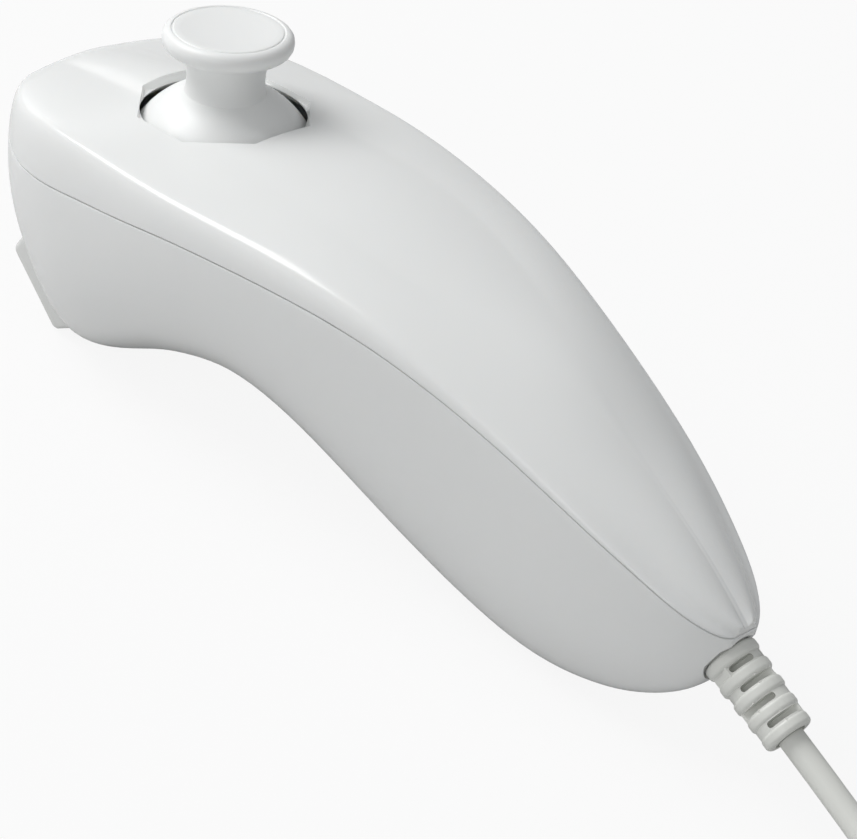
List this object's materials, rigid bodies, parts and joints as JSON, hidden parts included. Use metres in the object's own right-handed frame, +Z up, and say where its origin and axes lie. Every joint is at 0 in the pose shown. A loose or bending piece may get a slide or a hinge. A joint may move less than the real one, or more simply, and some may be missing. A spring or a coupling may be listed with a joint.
{
  "type": "motion game controller",
  "caption": "One-handed motion game controller with a thumb stick on top, a front button, a curved trigger, and a coiled cord ending in a latching plug.",
  "frame": {"origin": "centre of the bounding box of the controller without its cord, on the surface it lies on", "axes": "+Y from the front buttons to the cord, +Z up through the thumb stick, +X to the left of the hand that points it along -Y"},
  "size_m": [0.0547, 0.2102, 0.0451],
  "materials": {
    "shell_white": "gloss",
    "stick_white": "satin",
    "button_grey": "gloss",
    "cord_grey": "satin",
    "steel": "brushed",
    "zinc": "satin",
    "board_green": "satin",
    "chip_black": "matt",
    "dark_plastic": "matt",
    "natural_plastic": "matt",
    "membrane": "matt",
    "wire": "satin",
    "plug_white": "satin",
    "gold": "polished",
    "tie": "matt"
  },
  "bodies": {
    "housing": {"upper_shell": "shell_white", "lower_shell": "shell_white", "housing_screws": "steel", "stick_module_frame": "zinc", "stick_module_base": "dark_plastic", "side_sensor": "dark_plastic", "rear_sensor": "dark_plastic", "return_spring": "steel", "spring_seat": "natural_plastic", "main_board": "board_green", "board_screws": "steel", "microcontroller": "chip_black", "accelerometer": "chip_black", "capacitors": "zinc", "cable_socket": "natural_plastic", "cable_connector": "natural_plastic", "cable_wires": "wire", "inner_cable": "cord_grey", "switch_bracket": "dark_plastic", "button_board": "board_green", "button_membrane": "membrane", "trigger_board": "board_green", "trigger_membrane": "membrane", "bracket_screws": "steel", "strain_relief": "cord_grey", "cord_lead": "cord_grey", "cord_coil": "cord_grey", "cord_end": "cord_grey", "cord_tie": "tie", "plug_top_shell": "plug_white", "plug_bottom_shell": "plug_white", "plug_nose": "dark_plastic", "plug_contacts": "gold", "plug_boot": "cord_grey"},
    "rocker_lower": {"rocker_lower": "natural_plastic"},
    "stick": {"stick_cap": "stick_white", "stick_shaft": "steel"},
    "rocker_upper": {"rocker_upper": "natural_plastic"},
    "front_button": {"front_button": "button_grey"},
    "trigger": {"trigger": "button_grey"},
    "latch_left": {"plug_latch_left": "plug_white"},
    "latch_right": {"plug_latch_right": "plug_white"}
  },
  "joints": [
    {"name": "stick_pitch", "type": "hinge", "parent": "housing", "child": "rocker_lower", "pos_m": [0, -0.02916, 0.02571], "axis": [1, 0, 0], "range_deg": [-15, 15], "stiffness_Nm_per_rad": 0.004},
    {"name": "stick_roll", "type": "hinge", "parent": "rocker_lower", "child": "stick", "pos_m": [0, -0.02916, 0.02571], "axis": [0, 0.994, 0.1097], "range_deg": [-15, 15], "stiffness_Nm_per_rad": 0.004},
    {"name": "rocker_turn", "type": "hinge", "parent": "housing", "child": "rocker_upper", "pos_m": [0, -0.02916, 0.02571], "axis": [0, 0.994, 0.1097], "range_deg": [-15, 15]},
    {"name": "button_press", "type": "slide", "parent": "housing", "child": "front_button", "axis": [0, 1, 0], "range_m": [0, 0.001], "stiffness_N_per_m": 1500},
    {"name": "trigger_pull", "type": "hinge", "parent": "housing", "child": "trigger", "pos_m": [0, -0.04475, 0.013], "axis": [1, 0, 0], "range_deg": [0, 7], "stiffness_Nm_per_rad": 0.08},
    {"name": "latch_left_squeeze", "type": "slide", "parent": "housing", "child": "latch_left", "axis": [-1, 0, 0], "range_m": [0, 0.0009], "stiffness_N_per_m": 2000},
    {"name": "latch_right_squeeze", "type": "slide", "parent": "housing", "child": "latch_right", "axis": [1, 0, 0], "range_m": [0, 0.0009], "stiffness_N_per_m": 2000}
  ],
  "couplings": [
    {"joint": "rocker_turn", "follows": "stick_roll", "ratio": 1}
  ]
}
